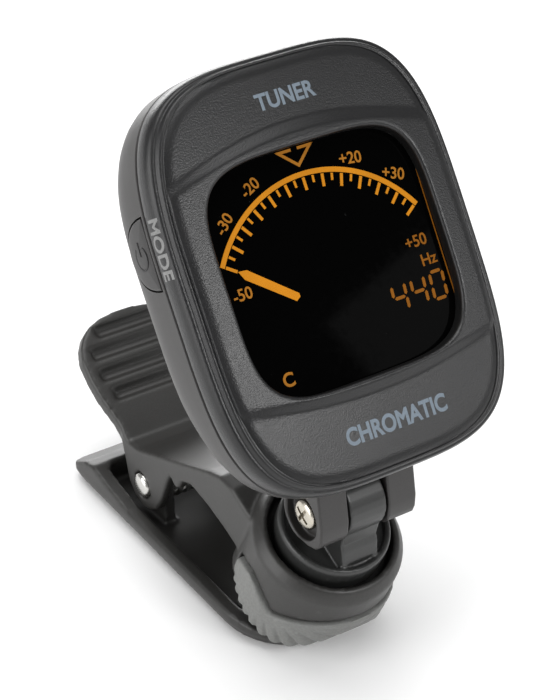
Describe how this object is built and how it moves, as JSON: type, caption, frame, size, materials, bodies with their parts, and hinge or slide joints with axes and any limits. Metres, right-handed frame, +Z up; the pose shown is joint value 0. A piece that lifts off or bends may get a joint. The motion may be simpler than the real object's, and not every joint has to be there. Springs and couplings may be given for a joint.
{
  "type": "clip-on tuner",
  "caption": "Clip-on instrument tuner: rounded display head with a needle scale, on a tilt and swivel joint, over a sprung padded clip.",
  "frame": {"origin": "middle of the clip's flat underside, on the plane it stands on", "axes": "+Z up, +Y towards the thumb end of the clip, +X to the right of a person reading the display"},
  "size_m": [0.0415, 0.0648, 0.0759],
  "materials": {
    "shell_front": "fine moulded grain, satin",
    "shell_back": "fine moulded grain, satin",
    "button": "satin",
    "door": "satin",
    "lens": "polished, dark tint",
    "lcd": "dark negative display glass",
    "light_guide": "frosted diffuser",
    "zebra": "matte",
    "board": "solder mask, satin",
    "led": "clear resin",
    "chip": "epoxy blob",
    "switch": "satin",
    "piezo": "rolled sheet",
    "cell": "nickel plated",
    "holder": "satin",
    "contact": "nickel plated spring strip",
    "case_screw": "zinc plated",
    "tilt_screw": "nickel plated, worn",
    "tilt_nut": "nickel plated",
    "knuckle": "satin, polished by rubbing",
    "swivel_screw": "zinc plated",
    "washer": "zinc plated",
    "clip_upper": "satin moulded",
    "clip_lower": "satin moulded",
    "shoe_rubber": "matte grey rubber",
    "pad_rubber": "matte grey rubber",
    "pin": "polished steel",
    "spring": "spring wire",
    "lcd_segments": "lit amber display segments",
    "print_ink": "pale pad-printed ink"
  },
  "bodies": {
    "base": {"lower_arm": "clip_lower", "lower_pad": "pad_rubber", "pivot_pin": "pin", "torsion_spring": "spring"},
    "upper": {"upper_arm": "clip_upper", "upper_pad": "shoe_rubber"},
    "knuckle": {"swivel_knuckle": "knuckle", "swivel_screw": "swivel_screw", "swivel_washer": "washer"},
    "head": {"front_shell": "shell_front", "back_shell": "shell_back", "lens": "lens", "lcd_panel": "lcd", "light_guide": "light_guide", "zebra_connector": "zebra", "circuit_board": "board", "backlight_led": "led", "controller_chip": "chip", "tact_switch": "switch", "piezo_disc": "piezo", "coin_cell": "cell", "cell_holder": "holder", "contact_negative": "contact", "contact_positive": "contact", "case_screw_1": "case_screw", "case_screw_2": "case_screw", "case_screw_3": "case_screw", "case_screw_4": "case_screw", "tilt_screw": "tilt_screw", "tilt_nut": "tilt_nut"},
    "button": {"mode_button": "button"},
    "door": {"battery_door": "door"}
  },
  "joints": [
    {"name": "jaw_open", "type": "hinge", "parent": "base", "child": "upper", "pos_m": [0, 0.0088, 0.0064], "axis": [-1, 0, 0], "range_deg": [0, 30], "stiffness_Nm_per_rad": 0.25, "springref_deg": -28.65, "deforming": ["torsion_spring"]},
    {"name": "head_swivel", "type": "hinge", "parent": "upper", "child": "knuckle", "pos_m": [0, -0.02355, 0.0169], "axis": [0, -0.3987, 0.9171], "continuous": true},
    {"name": "head_tilt", "type": "hinge", "parent": "knuckle", "child": "head", "pos_m": [0, -0.02676, 0.02428], "axis": [1, 0, 0], "range_deg": [-35, 75]},
    {"name": "button_press", "type": "slide", "parent": "head", "child": "button", "axis": [1, 0, 0], "range_m": [0, 0.00035], "stiffness_N_per_m": 600, "springref_m": -0.0003},
    {"name": "door_turn", "type": "hinge", "parent": "head", "child": "door", "pos_m": [0, -0.01006, 0.04921], "axis": [0, -0.8059, 0.592], "range_deg": [0, 45]}
  ]
}
